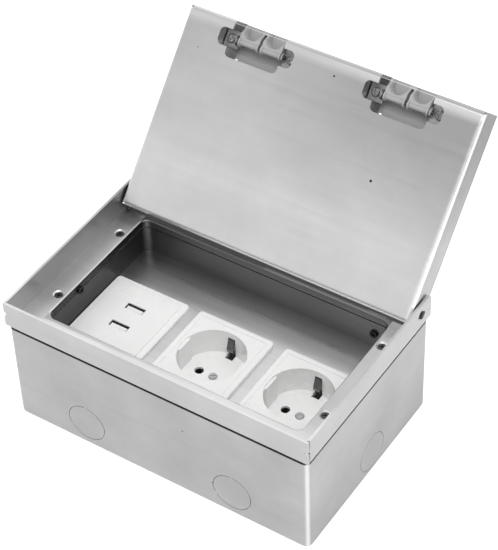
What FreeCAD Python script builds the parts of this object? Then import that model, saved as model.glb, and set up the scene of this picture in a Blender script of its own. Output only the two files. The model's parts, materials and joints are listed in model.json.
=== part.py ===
import FreeCAD, Part

import math
import os

V = FreeCAD.Vector
X_AXIS, Y_AXIS, Z_AXIS = V(1, 0, 0), V(0, 1, 0), V(0, 0, 1)

# Floor socket box. Millimetres, +Z up. The origin is the centre of the underside, +X runs along the
# long side to the right, and -Y is the side that the lid opens towards. The lid is drawn closed and
# turned open about its pivots at the end.

# ---------------------------------------------------------------- driving dimensions
frame_depth = 130.0             # top frame, along Y; its length follows the three modules
total_height = 88.0             # underside of the box to the floor level
sheet = 1.5                     # folded stainless sheet

frame_wall_height = 18.0        # upstand of the frame, shelf sheet included
shelf_width_side = 15.8         # outside of the frame to the opening, short sides
shelf_width_front = 18.0        # the same at the front
shelf_width_back = 16.9         # the same at the hinge side
opening_corner_radius = 5.0
opening_fold_radius = 1.2       # fold of the shelf down into the opening
flange_depth = 4.8              # lip of the opening, below the top of the shelf
back_lip_height = 6.7           # upstand at the hinge side, above the shelf
corner_seam = 0.6
relief_radius = 1.5
relief_depth = 5.0
wall_end_radius = 3.0           # free upper corner of each side wall
wall_end_chamfer = 2.2
fold_radius = 2.0               # outside of a fold
tray_fold_radius = 1.8

box_inset = 0.7                 # the frame overhangs the box
box_gap = 0.8                   # shadow gap between the box and the frame
box_corner_radius = 4.0
knockout_radius = 12.5
knockout_height = 17.5
knockout_pitch = 99.0           # the two on a long side
side_knockout_y = 3.0
side_knockout_height = 15.7
knockout_slot = 0.3             # width of the cut that outlines a knock-out
knockout_tab_angle = 8.0        # degrees of sheet left at each of its three tabs
fixing_pitch_x = 150.0          # slab fixing holes in the bottom
fixing_pitch_y = 90.0
fixing_hole_radius = 2.75

lug_y = 30.0                    # frame screws
lug_screw_inset = 4.8           # opening to the screw centre
lug_width = 14.0
lug_pad = 2.0                   # below the shelf: pad, threaded boss and welded leg
lug_boss = 7.0
lug_leg = 17.0
lug_gap = 0.3                   # to the lip of the opening
frame_screw_radius = 2.0
frame_head_height = 0.6         # right-angled countersink
frame_hole_floor = 0.2          # straight part of the hole under the countersink
frame_screw_clearance = 0.1
frame_screw_length = 8.5
frame_cross = (1.7, 0.8, 1.0)   # reach, width and depth of a cross recess

tray_depth = 40.4               # floor level to the floor that the modules stand on
tray_hole_corner = 2.0
seam_gap = 0.8                  # open line between the flange and the tray wall
clamp_screw_radius = 1.5
clamp_head_radius = 2.5
clamp_head_thickness = 1.2
clamp_hole_clearance = 0.2
clamp_socket_radius = 1.3
clamp_socket_depth = 0.8
clamp_screw_end = 1.0           # past its plate
clamp_plate_size = 12.0
clamp_plate_thickness = 2.5
clamp_plate_top_gap = 0.3       # to the shelf
clamp_side_y = -16.7            # on the short walls, at the seam
clamp_long_inset = 10.7         # on the long walls, from the end of the opening
clamp_long_drop = 9.0           # below the seam

module_y = -7.8                 # centre line of the modules
module_gap = 7.7                # between two covers
module_end_gap = 0.3            # outer covers to the ends of the opening
cover_margin = 3.4              # insert to the edge of the cover, along X
cover_end_margin = 5.3          # the same along Y
cover_thickness = 2.0
cover_wall = 1.4
cover_corner_radius = 2.5
cover_edge = 0.4                # bevel of the upper edge
border_width = 3.4
border_groove = 0.3
border_to_well = 0.6

support_thickness = 1.0
support_gap = 0.1               # to the wall of the cover
support_margin = 1.0            # past the insert, along X
support_hole_gap = 0.25         # round the well
support_screw_x = 12.0
support_screw_margin = 1.7      # past the insert, along Y
support_screw_radius = 1.25
support_head_radius = 1.8
support_screw_gap = 0.1
support_screw_end = 3.0         # past the tray floor
support_slot = (0.6, 0.5)       # width and depth
insert_clearance = 0.35         # well to the legs of the support plate
insert_hole_gap = 1.6           # insert to its hole in the tray floor
insert_short = 2.0              # insert bodies are shorter at each end, along Y
insert_corner = 3.0
leg_width = 12.0
leg_length = 7.8                # below the top of the base

well_radius = 20.25
well_depth = 17.5
well_wall = 1.4
pin_pitch = 19.0
pin_hole_radius = 2.75
centre_screw_radius = 1.75
centre_head_radius = 2.6
centre_head_height = 1.6
centre_head_edge = 0.5
centre_recess = 0.7
centre_hole_gap = 0.1
centre_screw_end = 8.6          # below the top of the base
centre_hole_end = 9.0
centre_cross = (1.7, 0.7, 0.8)
key_flat = 18.2                 # well centre to the flat of a side key
key_half_width = 5.2
key_bed = 0.4                   # into the wall of the well
key_drop = 0.8                  # below the top of the cover
cup_drop = 0.5
earth_slot_width = 5.0
earth_slot_reach = 4.2          # from the wall of the well towards its centre
earth_slot_drop = 4.2           # below the top of the cover
earth_strip_width = 4.0
earth_strip_thickness = 0.8
earth_strip_inset = 0.6         # strip behind the wall of the well
earth_bow = 2.9                 # of a clip into the well
earth_bow_low = 4.6             # heights above the middle of the strip
earth_bow_high = 6.8
earth_bow_end = 8.4
earth_tip_drop = 5.0            # tip of a clip below the top of the cover
earth_tip_inset = 0.4
earth_eye_radius = 5.0
earth_eye_gap = 0.2
base_top_gap = 1.6              # space for the earth strip under the well
base_height = 12.5
contact_wall = 0.8
contact_bore = 2.45
contact_gap = 0.2
contact_depth = 10.0            # below the top of the base
contact_floor = 1.2
contact_top_gap = 0.4           # to the well
contact_slit = 0.8
contact_slit_depth = 5.0
terminal_pitch = 13.0
terminal_size = 6.0
terminal_pocket = 8.0
terminal_roof = 5.0             # of its pocket, below the top of the base
terminal_drop = 9.0             # screw below the top of the base
terminal_length = 5.0
terminal_inset = 3.0
terminal_low = 3.5
terminal_high = 3.9
terminal_bore = 1.4
terminal_head = (2.0, 1.6)      # radius and thickness
terminal_slot = (0.7, 0.5)      # width and depth

usb_pitch = 16.1
usb_y = -8.0                    # middle of the two slots
usb_slot_x = 12.5
usb_slot_y = 4.8
usb_field_x = 43.6              # raised field of the cover
usb_field_y = 47.4
usb_field_rise = 0.9
usb_field_corner = 1.5
usb_field_edge = 0.3
usb_border_drop = 0.5           # border below the sockets' covers
usb_shell_wall = 0.35
usb_shell_length = 14.0
usb_shell_gap = 0.1
usb_shell_drop = 0.6
usb_shell_floor = 2.0
usb_tongue_half = 5.4
usb_tongue_front = 1.7
usb_tongue_back = 0.8
usb_tongue_drop = 0.8
usb_board_gap = 0.2
usb_board_corner = 1.4
usb_hole_margin = 1.5
usb_board_thickness = 1.6
usb_housing_height = 25.0
usb_housing_wall = 1.6
usb_housing_gap = 0.4           # below the module's plate

earth_stud_side = 27.3          # from the outside of the box, left and back
earth_stud_rear = 12.3
earth_stud_radius = 2.5
earth_stud_height = 16.0
earth_nut_across = 8.0
earth_nut_height = 4.0
earth_washer_radius = 5.0
earth_washer_height = 1.0
earth_nut_pitch = 6.0

lid_side_gap = 0.8              # lid to the inside of the frame walls
lid_front_gap = 0.8
lid_back_gap = 2.2
lid_shelf_gap = 0.2
lid_fold_radius = 3.0
lid_back_upstand = 6.5
lid_open_angle = 131.7
lid_relief_radius = 1.0
lid_relief_inset = 1.2
pivot_edge = 10.5               # pivot axis to the back of the frame
pivot_rise = 8.7                # pivot axis above the shelf
pivot_radius = 2.5
pivot_clearance = 0.05
pivot_head_length = 7.2         # oblong head, sunk in the frame wall
pivot_head_width = 5.0
pivot_head_corner = 1.0
pivot_head_turn = 40.0          # degrees that its length points down to the back
pivot_head_sink = 0.7
pivot_drilling_radius = 1.4
pivot_drilling_depth = 0.5
pivot_groove_depth = 0.6
pivot_end = 0.7                 # past the clip
pivot_clip_radius = 4.5
pivot_clip_thickness = 0.8
pivot_clip_gap = 0.3            # to the lid
pivot_clip_opening = 2.4
swing_slot_front = 4.6          # slot in the shelf, ahead of and behind the pivot axis
swing_slot_back = 5.4

outlet_x = 48.5                 # cable outlets, from the middle of the lid
outlet_width = 35.0
outlet_depth = 21.5
outlet_gap = 0.4                # flap and bracket to the edge of the cut-out
lobe_reach = 7.5
lobe_front = 5.5
lobe_back = 16.0
lobe_radius = 3.0
housing_sheet = 1.2
housing_margin = 1.5            # past the cut-out, along X
housing_back = 4.4              # past the opening of its roof
housing_boss_radius = 3.0
housing_boss_roof = 0.5
roof_opening_margin = 1.5       # behind the flap's plate
hinge_inset = 10.75             # flap axis behind the lid's front edge
hinge_drop = 9.0                # flap axis below the floor level
flap_pin_radius = 1.25
flap_clearance = 0.05
flap_pin_end = 0.5              # past the ear
flap_plate = 2.2
flap_tongue = 2.4
flap_plate_overhang = 2.8       # plate past the body
barrel_radius = 2.0
barrel_flange_radius = 2.9
barrel_flange = 1.0
flap_front_gap = 0.3            # to the lid's front
flap_edge = 0.5
flap_tongue_overlap = 3.0
flap_tongue_thickness = 1.9
flap_tongue_gap = 0.3           # below the housing's roof
flap_half_gap = 0.9             # half of the gap between its two halves
flap_gap_front = 2.0
flap_gap_back = 4.0
channel_wall = 1.2
channel_end = 0.4               # channels into the barrels' flanges
channel_roof = 0.2
channel_back_wall = 1.4
channel_ease = 1.0              # channel radius less than half of its width
rib_slope = (2.5, 2.6, 3.4)     # start before the channel's end, rise behind the front, rise there
ear_gap = 0.7                   # to the flap's body
ear_sheet = 1.2
ear_radius = 3.0
foot_rise = 1.6                 # bracket foot above the flap axis
outlet_screw_inset = 5.6        # from the ear's inner face
outlet_screw_radius = 1.5
outlet_head_radius = 2.8
outlet_head_thickness = 1.8
outlet_head_edge = 0.6
outlet_screw_length = 5.0
outlet_cross = (1.8, 0.7, 1.0)
outlet_hole_gap = 0.2

# ---------------------------------------------------------------- derived places
insert_size = 2 * (well_radius + well_wall + insert_clearance)
cover_x = insert_size + 2 * cover_margin
cover_y = insert_size + 2 * cover_end_margin
module_pitch = cover_x + module_gap
opening_x = module_pitch + cover_x / 2 + module_end_gap
frame_length = 2 * (opening_x + shelf_width_side)
shelf_top = total_height - frame_wall_height + sheet
shelf_bottom = shelf_top - sheet
inner_x = frame_length / 2 - sheet
inner_y = frame_depth / 2 - sheet
opening_front = -frame_depth / 2 + shelf_width_front
opening_back = frame_depth / 2 - shelf_width_back
flange_bottom = shelf_top - flange_depth
box_x = frame_length / 2 - box_inset
box_y = frame_depth / 2 - box_inset
box_top = shelf_bottom - box_gap
screw_x = opening_x + lug_screw_inset
clamp_long_x = opening_x - clamp_long_inset
frame_hole_radius = frame_screw_radius + frame_screw_clearance
frame_dimple_height = sheet - frame_hole_floor
frame_head_top = shelf_top - frame_dimple_height + frame_head_height
tray_top = flange_bottom - seam_gap
seam_z = flange_bottom - seam_gap / 2
tray_floor_top = total_height - tray_depth
tray_floor_bottom = tray_floor_top - sheet
cover_top = tray_floor_top + cover_thickness
well_floor = cover_top - well_depth
base_top = well_floor - well_wall - base_top_gap
support_x = insert_size + 2 * support_margin
support_y = cover_y - 2 * (cover_wall + support_gap)
support_screw_y = insert_size / 2 + support_screw_margin
earth_stud_x = earth_stud_side - box_x
earth_stud_y = box_y - earth_stud_rear
pivot_y = frame_depth / 2 - pivot_edge
pivot_z = shelf_top + pivot_rise
lid_x = inner_x - lid_side_gap
lid_front = -inner_y + lid_front_gap
lid_back = inner_y - lid_back_gap
lid_bottom = shelf_top + lid_shelf_gap
hinge_y = lid_front + hinge_inset
hinge_z = total_height - hinge_drop
flap_half = outlet_width / 2 - outlet_gap
flap_body_half = flap_half - flap_plate_overhang
flap_depth = outlet_depth - flap_front_gap
ear_inner = flap_body_half + ear_gap
outlet_screw_x = ear_inner + outlet_screw_inset
foot_reach = outlet_width / 2 + lobe_reach - outlet_gap
housing_half = outlet_width / 2 + lobe_reach + housing_margin
roof_opening_back = flap_depth + roof_opening_margin
housing_depth = roof_opening_back + housing_back
module_x = {"usb": -module_pitch, "socket_1": 0.0, "socket_2": module_pitch}
outlet_centres = {"left": -outlet_x, "right": outlet_x}


past = 1.0                      # how far a cutter runs past a face
touch = 0.01


# ---------------------------------------------------------------- helpers
def block(x0, x1, y0, y1, z0, z1):
    return Part.makeBox(x1 - x0, y1 - y0, z1 - z0, V(x0, y0, z0))


def rod(radius, start, axis, length):
    return Part.makeCylinder(radius, length, V(*start), axis)


def vertical_edges(shape):
    return [e for e in shape.Edges if abs(e.tangentAt(e.FirstParameter).z) > 0.99]


def rounded_block(x0, x1, y0, y1, z0, z1, radius):
    body = block(x0, x1, y0, y1, z0, z1)
    return body.makeFillet(radius, vertical_edges(body))


def edges_at(shape, z):
    return [e for e in shape.Edges
            if abs(e.BoundBox.ZMin - z) < 1e-4 and abs(e.BoundBox.ZMax - z) < 1e-4]


def soft_bottom(shape, radius):
    """The folds round the underside of a tray."""
    return shape.makeFillet(radius, edges_at(shape, shape.BoundBox.ZMin))


def prism(points, axis, thickness):
    """A closed outline of 3-D points, pushed along an axis."""
    wire = Part.makePolygon([V(*p) for p in points] + [V(*points[0])])
    return Part.Face(wire).extrude(axis * thickness)


def offset_strip(centre, thickness):
    """Outline of a folded strip: a centre line in 2-D with mitred corners."""
    left, right = [], []
    for i, point in enumerate(centre):
        before = centre[max(i - 1, 0)]
        after = centre[min(i + 1, len(centre) - 1)]
        into = direction(before, point) if i else direction(point, after)
        out = direction(point, after) if i < len(centre) - 1 else into
        normal = (-(into[1] + out[1]), into[0] + out[0])
        size = math.hypot(*normal)
        mitre = thickness / 2 / max(0.3, (normal[0] * -into[1] + normal[1] * into[0]) / size)
        left.append((point[0] + normal[0] / size * mitre, point[1] + normal[1] / size * mitre))
        right.append((point[0] - normal[0] / size * mitre, point[1] - normal[1] / size * mitre))
    return left + right[::-1]


def direction(a, b):
    size = math.hypot(b[0] - a[0], b[1] - a[1])
    return ((b[0] - a[0]) / size, (b[1] - a[1]) / size)


def fuse(shapes):
    result = shapes[0]
    for other in shapes[1:]:
        result = result.fuse(other)
    return result.removeSplitter()


def cut(shape, tools):
    for tool in tools:
        shape = shape.cut(tool)
    return shape


def cross_slot(x, y, face, size, down=-1):
    """Cutter for a cross recess in the face of a screw head; down points into the head."""
    reach, width, depth = size
    z0, z1 = sorted((face + down * depth, face - down * past))
    return block(x - reach, x + reach, y - width / 2, y + width / 2, z0, z1).fuse(
        block(x - width / 2, x + width / 2, y - reach, y + reach, z0, z1))


parts = {}


# ---------------------------------------------------------------- lower casing
def knockout_cutter(centre, axis):
    """Ring slot that outlines a knock-out, broken by three tabs."""
    depth = 4 * sheet
    start = V(*centre) - axis * (depth / 2)
    ring = Part.makeCylinder(knockout_radius, depth, start, axis).cut(
        Part.makeCylinder(knockout_radius - knockout_slot, depth, start, axis))
    side = axis.cross(Z_AXIS)
    for k in range(3):
        middle = math.radians(90 + 120 * k)
        half = math.radians(knockout_tab_angle / 2)
        far = knockout_radius + 1
        corners = [start]
        for angle in (middle - half, middle + half):
            corners.append(start + (side * math.cos(angle) + Z_AXIS * math.sin(angle)) * far)
        ring = ring.cut(prism([tuple(c) for c in corners], axis, depth))
    return ring


def base_box():
    outer = soft_bottom(rounded_block(-box_x, box_x, -box_y, box_y, 0, box_top,
                                      box_corner_radius), fold_radius)
    inner = rounded_block(-box_x + sheet, box_x - sheet, -box_y + sheet, box_y - sheet,
                          sheet, box_top + 1, box_corner_radius - sheet)
    shell = outer.cut(inner)
    tools = []
    for sign in (-1, 1):
        middle = box_x - sheet / 2
        tools.append(knockout_cutter((sign * middle, side_knockout_y, side_knockout_height),
                                     X_AXIS))
        for x in (-knockout_pitch / 2, knockout_pitch / 2):
            wall = sign * (box_y - sheet / 2)
            tools.append(knockout_cutter((x, wall, knockout_height), Y_AXIS))
        for y in (-fixing_pitch_y / 2, fixing_pitch_y / 2):
            tools.append(rod(fixing_hole_radius, (sign * fixing_pitch_x / 2, y, -1), Z_AXIS,
                             sheet + 2))
    return cut(shell, tools)


def frame_lug(sign, y):
    """Angle welded to the short wall, with a threaded boss under the frame screw."""
    wall = box_x - sheet
    pad_end = opening_x + sheet + lug_gap
    y0, y1 = y - lug_width / 2, y + lug_width / 2
    pad = block(pad_end, wall, y0, y1, shelf_bottom - lug_pad, shelf_bottom)
    leg = block(wall - sheet, wall, y0, y1, shelf_bottom - lug_leg, shelf_bottom - lug_pad)
    boss = rod(screw_x - pad_end, (screw_x, y, shelf_bottom - lug_boss), Z_AXIS,
               lug_boss - lug_pad / 2)
    lug = fuse([pad, leg, boss]).cut(
        rod(frame_screw_radius, (screw_x, y, shelf_bottom - lug_boss - past), Z_AXIS,
            lug_boss + 2 * past))
    return lug if sign > 0 else lug.mirror(V(0, 0, 0), X_AXIS)


parts["base_box"] = base_box()
lug_places = [(sign, y) for sign in (-1, 1) for y in (-lug_y, lug_y)]
parts["frame_lugs"] = Part.makeCompound([frame_lug(sign, y) for sign, y in lug_places])


# ---------------------------------------------------------------- top frame
def clamp_places():
    """Where the tray's screws stand: a point on the wall and the outward direction."""
    low = seam_z - clamp_long_drop
    return [(V(-opening_x, clamp_side_y, seam_z), V(-1, 0, 0)),
            (V(opening_x, -clamp_side_y, seam_z), V(1, 0, 0)),
            (V(clamp_long_x, opening_back, low), V(0, 1, 0)),
            (V(-clamp_long_x, opening_front, low), V(0, -1, 0))]


def opening_prism(grow, z0, z1):
    return rounded_block(-opening_x - grow, opening_x + grow, opening_front - grow,
                         opening_back + grow, z0, z1, opening_corner_radius + grow)


def clamp_hole(place, out):
    return rod(clamp_screw_radius + clamp_hole_clearance, tuple(place), out, 2 * sheet)


def pivot_head_prism(x0, x1):
    """Oblong with cut corners, turned about the pivot axis."""
    half_y, half_z = pivot_head_length / 2, pivot_head_width / 2
    head = block(x0, x1, pivot_y - half_y, pivot_y + half_y, pivot_z - half_z, pivot_z + half_z)
    along = [e for e in head.Edges if abs(e.tangentAt(e.FirstParameter).x) > 0.99]
    head = head.makeChamfer(pivot_head_corner, along)
    head.rotate(V(0, pivot_y, pivot_z), X_AXIS, -pivot_head_turn)
    return head


def top_frame():
    x, y = frame_length / 2, frame_depth / 2
    outer = soft_bottom(block(-x, x, -y, y, shelf_bottom, total_height), fold_radius)
    hollow = block(-inner_x, inner_x, -inner_y, inner_y, shelf_top, total_height + 1)
    flange = opening_prism(sheet, flange_bottom, shelf_top)
    tray = outer.cut(hollow).fuse(flange).removeSplitter()
    tray = tray.cut(opening_prism(0, flange_bottom - 1, shelf_top + 1))
    rim = [e for e in edges_at(tray, shelf_top)
           if max(abs(e.BoundBox.XMin), abs(e.BoundBox.XMax)) < opening_x + 0.1]
    tray = tray.makeFillet(opening_fold_radius, rim)
    tools = []
    # low lip at the hinge side, rounded and chamfered ends of the side walls
    lip_top = shelf_top + back_lip_height
    tools.append(block(-inner_x, inner_x, inner_y, y + past, lip_top, total_height + past))
    for sign in (-1, 1):
        seam_x = sorted((sign * inner_x, sign * (x + 1)))
        tools.append(block(seam_x[0], seam_x[1], -inner_y, -inner_y + corner_seam,
                           shelf_top, total_height + 1))
        middle_z = (shelf_top + total_height) / 2
        tools.append(rod(relief_radius, (sign * x, -y, middle_z), V(-sign, 1, 0), relief_depth))
    # slot that the hinge edge of the lid dips into as it swings
    tools.append(block(-inner_x, inner_x, pivot_y - swing_slot_front,
                       pivot_y + swing_slot_back, shelf_bottom - 1, shelf_top + 0.01))
    # countersunk holes over the lugs
    for sign, hole_y in lug_places:
        tools.append(rod(frame_hole_radius, (sign * screw_x, hole_y, shelf_bottom - past), Z_AXIS,
                         sheet + 2 * past))
        tools.append(Part.makeCone(frame_hole_radius, frame_hole_radius + frame_dimple_height,
                                   frame_dimple_height,
                                   V(sign * screw_x, hole_y, shelf_top - frame_dimple_height),
                                   Z_AXIS))
    # half-round notches over the seam
    tools += [clamp_hole(place, out) for place, out in clamp_places()]
    # oblong holes of the lid's pivots
    hole = pivot_head_prism(inner_x - 1, x + 1)
    tools += [hole, hole.mirror(V(0, 0, 0), X_AXIS)]
    return cut(tray, tools)


def side_wall_ends(frame):
    """Round the free upper corner of each side wall and chamfer the lower one."""
    y = frame_depth / 2
    radius = wall_end_radius
    for sign in (-1, 1):
        x0, x1 = sorted((sign * (inner_x - touch), sign * (frame_length / 2 + past)))
        corner = block(x0, x1, y - radius, y + 1, total_height - radius, total_height + 1)
        corner = corner.cut(rod(radius, (x0, y - radius, total_height - radius), X_AXIS, x1 - x0))
        frame = frame.cut(corner)
        frame = frame.cut(prism([(x0, y - wall_end_chamfer, shelf_bottom - touch),
                                 (x0, y + past, shelf_bottom - touch),
                                 (x0, y + past, shelf_bottom + wall_end_chamfer + past)],
                                X_AXIS, x1 - x0))
    return frame


def frame_screw(x, y):
    top = frame_head_top
    neck = top - frame_head_height
    head = Part.makeCone(frame_screw_radius, frame_screw_radius + frame_head_height,
                         frame_head_height, V(x, y, neck), Z_AXIS)
    shank = rod(frame_screw_radius, (x, y, top - frame_screw_length), Z_AXIS,
                frame_screw_length - frame_head_height)
    return fuse([head, shank]).cut(cross_slot(x, y, top, frame_cross))


parts["top_frame"] = side_wall_ends(top_frame())
parts["frame_screws"] = Part.makeCompound(
    [frame_screw(sign * screw_x, y) for sign, y in lug_places])


# ---------------------------------------------------------------- socket tray
def socket_tray():
    outer = soft_bottom(opening_prism(sheet, tray_floor_bottom, tray_top), tray_fold_radius)
    tools = [opening_prism(0, tray_floor_top, tray_top + 1)]
    half_x = insert_size / 2 + insert_hole_gap
    half_y = insert_size / 2
    for x in module_x.values():
        tools.append(rounded_block(x - half_x, x + half_x, module_y - half_y, module_y + half_y,
                                   tray_floor_bottom - past, tray_floor_top + past,
                                   tray_hole_corner))
        for sx, sy in support_screw_places(x):
            tools.append(rod(support_screw_radius, (sx, sy, tray_floor_bottom - past), Z_AXIS,
                             sheet + 2 * past))
    tools += [clamp_hole(place, out) for place, out in clamp_places()]
    return cut(outer, tools)


def support_screw_places(x):
    return [(x - support_screw_x, module_y - support_screw_y),
            (x + support_screw_x, module_y + support_screw_y)]


def clamp_plate(place, out):
    """Threaded plate behind the flange and the tray wall, up to the shelf."""
    side = out.cross(Z_AXIS)
    half = clamp_plate_size / 2
    start = place + out * sheet
    top = shelf_bottom - clamp_plate_top_gap - place.z
    corners = [start + side * a + Z_AXIS * b
               for a, b in ((-half, -half), (half, -half), (half, top), (-half, top))]
    plate = prism([tuple(c) for c in corners], out, clamp_plate_thickness)
    return plate.cut(Part.makeCylinder(clamp_screw_radius, clamp_plate_thickness + 2,
                                       start - out, out))


def clamp_screw(place, out):
    head = Part.makeCylinder(clamp_head_radius, clamp_head_thickness, place, out * -1)
    face = place - out * clamp_head_thickness
    socket = Part.makeCylinder(clamp_socket_radius, clamp_socket_depth, face, out)
    shank = Part.makeCylinder(clamp_screw_radius, sheet + clamp_plate_thickness + clamp_screw_end,
                              place, out)
    return fuse([head, shank]).cut(socket)


parts["socket_tray"] = socket_tray()
parts["tray_clamp_plates"] = Part.makeCompound([clamp_plate(p, o) for p, o in clamp_places()])
parts["tray_clamp_screws"] = Part.makeCompound([clamp_screw(p, o) for p, o in clamp_places()])


# ---------------------------------------------------------------- module parts
def cover_blank(x, top):
    """Moulded cover plate with a hollow back, before its well or slots."""
    hx, hy = cover_x / 2, cover_y / 2
    plate = rounded_block(x - hx, x + hx, module_y - hy, module_y + hy, tray_floor_top, top,
                          cover_corner_radius)
    plate = plate.makeChamfer(cover_edge, edges_at(plate, top))
    back = block(x - hx + cover_wall, x + hx - cover_wall, module_y - hy + cover_wall,
                 module_y + hy - cover_wall, tray_floor_top - 1,
                 tray_floor_top + support_thickness)
    return plate.cut(back)


def key(x, sign, z0, z1):
    """Side key of the well: a flat with a bevel to each side."""
    outer = well_radius + key_bed
    spread = key_half_width + outer - key_flat
    points = [(x + sign * outer, module_y - spread, z0),
              (x + sign * key_flat, module_y - key_half_width, z0),
              (x + sign * key_flat, module_y + key_half_width, z0),
              (x + sign * outer, module_y + spread, z0)]
    return prism(points, Z_AXIS, z1 - z0)


def socket_cover(x):
    well_bottom = well_floor - well_wall
    plate = cover_blank(x, cover_top)
    cup = rod(well_radius + well_wall, (x, module_y, well_bottom), Z_AXIS,
              cover_top - cup_drop - well_bottom)
    cover = plate.fuse(cup).removeSplitter()
    hollow = rod(well_radius, (x, module_y, well_floor), Z_AXIS, well_depth + 1)
    for sign in (-1, 1):
        hollow = hollow.cut(key(x, sign, well_floor - past, cover_top - key_drop))
    tools = [hollow]
    for sign in (-1, 1):
        tools.append(rod(pin_hole_radius, (x + sign * pin_pitch / 2, module_y, well_bottom - 1),
                         Z_AXIS, well_wall + 2))
        y0, y1 = sorted((module_y + sign * (well_radius - earth_slot_reach),
                         module_y + sign * (well_radius + well_wall + past)))
        tools.append(block(x - earth_slot_width / 2, x + earth_slot_width / 2, y0, y1,
                           well_bottom - past, cover_top - earth_slot_drop))
    tools.append(rod(centre_screw_radius, (x, module_y, well_bottom - 1), Z_AXIS, well_wall + 2))
    tools.append(rod(centre_head_radius + centre_hole_gap,
                     (x, module_y, well_floor - centre_recess), Z_AXIS, centre_recess + past))
    # fine groove that sets off the border
    hx, hy = cover_x / 2 - border_width, cover_y / 2 - border_width
    z0 = cover_top - border_groove
    ring = block(x - hx, x + hx, module_y - hy, module_y + hy, z0, cover_top + 1)
    ring = ring.cut(block(x - hx + border_groove, x + hx - border_groove,
                          module_y - hy + border_groove, module_y + hy - border_groove,
                          z0 - 1, cover_top + 2))
    ring = ring.cut(rod(well_radius + border_to_well, (x, module_y, z0 - past), Z_AXIS,
                        border_groove + 3 * past))
    tools.append(ring)
    return cut(cover, tools)


def support_plate(x, round_opening):
    """Steel plate on the tray floor, with two legs that hold the insert."""
    top = tray_floor_top + support_thickness
    plate = block(x - support_x / 2, x + support_x / 2, module_y - support_y / 2,
                  module_y + support_y / 2, tray_floor_top, top)
    leg_bottom = base_top - leg_length
    legs = []
    for sign in (-1, 1):
        x0, x1 = sorted((x + sign * insert_size / 2,
                         x + sign * (insert_size / 2 + support_margin)))
        legs.append(block(x0, x1, module_y - leg_width / 2, module_y + leg_width / 2,
                          leg_bottom, top))
    body = fuse([plate] + legs)
    if round_opening:
        hole = rod(well_radius + well_wall + support_hole_gap,
                   (x, module_y, tray_floor_top - past), Z_AXIS, support_thickness + 2 * past)
    else:
        half = insert_size / 2 - usb_hole_margin
        hole = block(x - half, x + half, module_y - half, module_y + half,
                     tray_floor_top - 1, top + 1)
    holes = [Part.makeCone(support_screw_radius + support_screw_gap,
                           support_head_radius + support_screw_gap, support_thickness,
                           V(sx, sy, tray_floor_top), Z_AXIS)
             for sx, sy in support_screw_places(x)]
    return cut(body, [hole] + holes)


def support_screw(x, y):
    top = tray_floor_top + support_thickness
    head = Part.makeCone(support_screw_radius, support_head_radius, support_thickness,
                         V(x, y, tray_floor_top), Z_AXIS)
    shank = rod(support_screw_radius, (x, y, tray_floor_bottom - support_screw_end), Z_AXIS,
                sheet + support_screw_end)
    width, depth = support_slot
    return fuse([head, shank]).cut(
        block(x - support_head_radius - past, x + support_head_radius + past, y - width / 2,
              y + width / 2, top - depth, top + past))


def insert_block(x, z0, z1, inset, corner):
    """Upright block with the plan of an insert's body, drawn in by an inset."""
    half = insert_size / 2 - inset
    return rounded_block(x - half, x + half, module_y - half + insert_short,
                         module_y + half - insert_short, z0, z1, corner)


def socket_base(x):
    half = insert_size / 2
    body = insert_block(x, base_top - base_height, base_top, 0, insert_corner)
    tools = [rod(centre_screw_radius, (x, module_y, base_top - centre_hole_end), Z_AXIS,
                 centre_hole_end + past)]
    for sign in (-1, 1):
        tools.append(rod(contact_bore + contact_wall + contact_gap,
                         (x + sign * pin_pitch / 2, module_y, base_top - contact_depth), Z_AXIS,
                         contact_depth + past))
    for place in terminal_places(x):
        tools.append(block(place - terminal_size / 2, place + terminal_size / 2,
                           module_y + half - terminal_pocket, module_y + half,
                           base_top - base_height - past, base_top - terminal_roof))
    return cut(body, tools)


def terminal_places(x):
    return [x - terminal_pitch, x, x + terminal_pitch]


def pin_contacts(x):
    """Two split tubes that grip the plug's pins."""
    tubes = []
    for sign in (-1, 1):
        cx = x + sign * pin_pitch / 2
        bottom = base_top - contact_depth
        length = contact_depth + base_top_gap - contact_top_gap
        outside = contact_bore + contact_wall
        tube = rod(outside, (cx, module_y, bottom), Z_AXIS, length)
        tube = tube.cut(rod(contact_bore, (cx, module_y, bottom + contact_floor), Z_AXIS, length))
        slit = block(cx - contact_slit / 2, cx + contact_slit / 2, module_y - outside - past,
                     module_y + outside + past, base_top - contact_slit_depth,
                     bottom + length + past)
        tubes.append(tube.cut(slit))
    return Part.makeCompound(tubes)


def earth_strap(x):
    """Folded strip under the well, whose two ends stand in the slots as clips."""
    low = base_top + base_top_gap / 2
    rim = cover_top - earth_tip_drop
    clip = well_radius + earth_strip_inset
    bow = clip - earth_bow
    half = [(clip, low), (clip, low + earth_bow_low), (bow, low + earth_bow_high),
            (bow, low + earth_bow_end), (clip - earth_tip_inset, rim)]
    line = [(-a, b) for a, b in half[::-1]] + half
    outline = offset_strip([(module_y + a, b) for a, b in line], earth_strip_thickness)
    x0 = x - earth_strip_width / 2
    strap = prism([(x0, a, b) for a, b in outline], X_AXIS, earth_strip_width)
    bottom = low - earth_strip_thickness / 2
    eye = rod(earth_eye_radius, (x, module_y, bottom), Z_AXIS, earth_strip_thickness)
    return fuse([strap, eye]).cut(
        rod(centre_screw_radius + earth_eye_gap, (x, module_y, bottom - past), Z_AXIS,
            earth_strip_thickness + 2 * past))


def centre_screw(x):
    bottom = well_floor - centre_recess
    top = bottom + centre_head_height
    head = rod(centre_head_radius, (x, module_y, bottom), Z_AXIS, centre_head_height)
    head = head.makeChamfer(centre_head_edge, edges_at(head, top))
    shank = rod(centre_screw_radius, (x, module_y, base_top - centre_screw_end), Z_AXIS,
                bottom - base_top + centre_screw_end)
    return fuse([head, shank]).cut(cross_slot(x, module_y, top, centre_cross))


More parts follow.
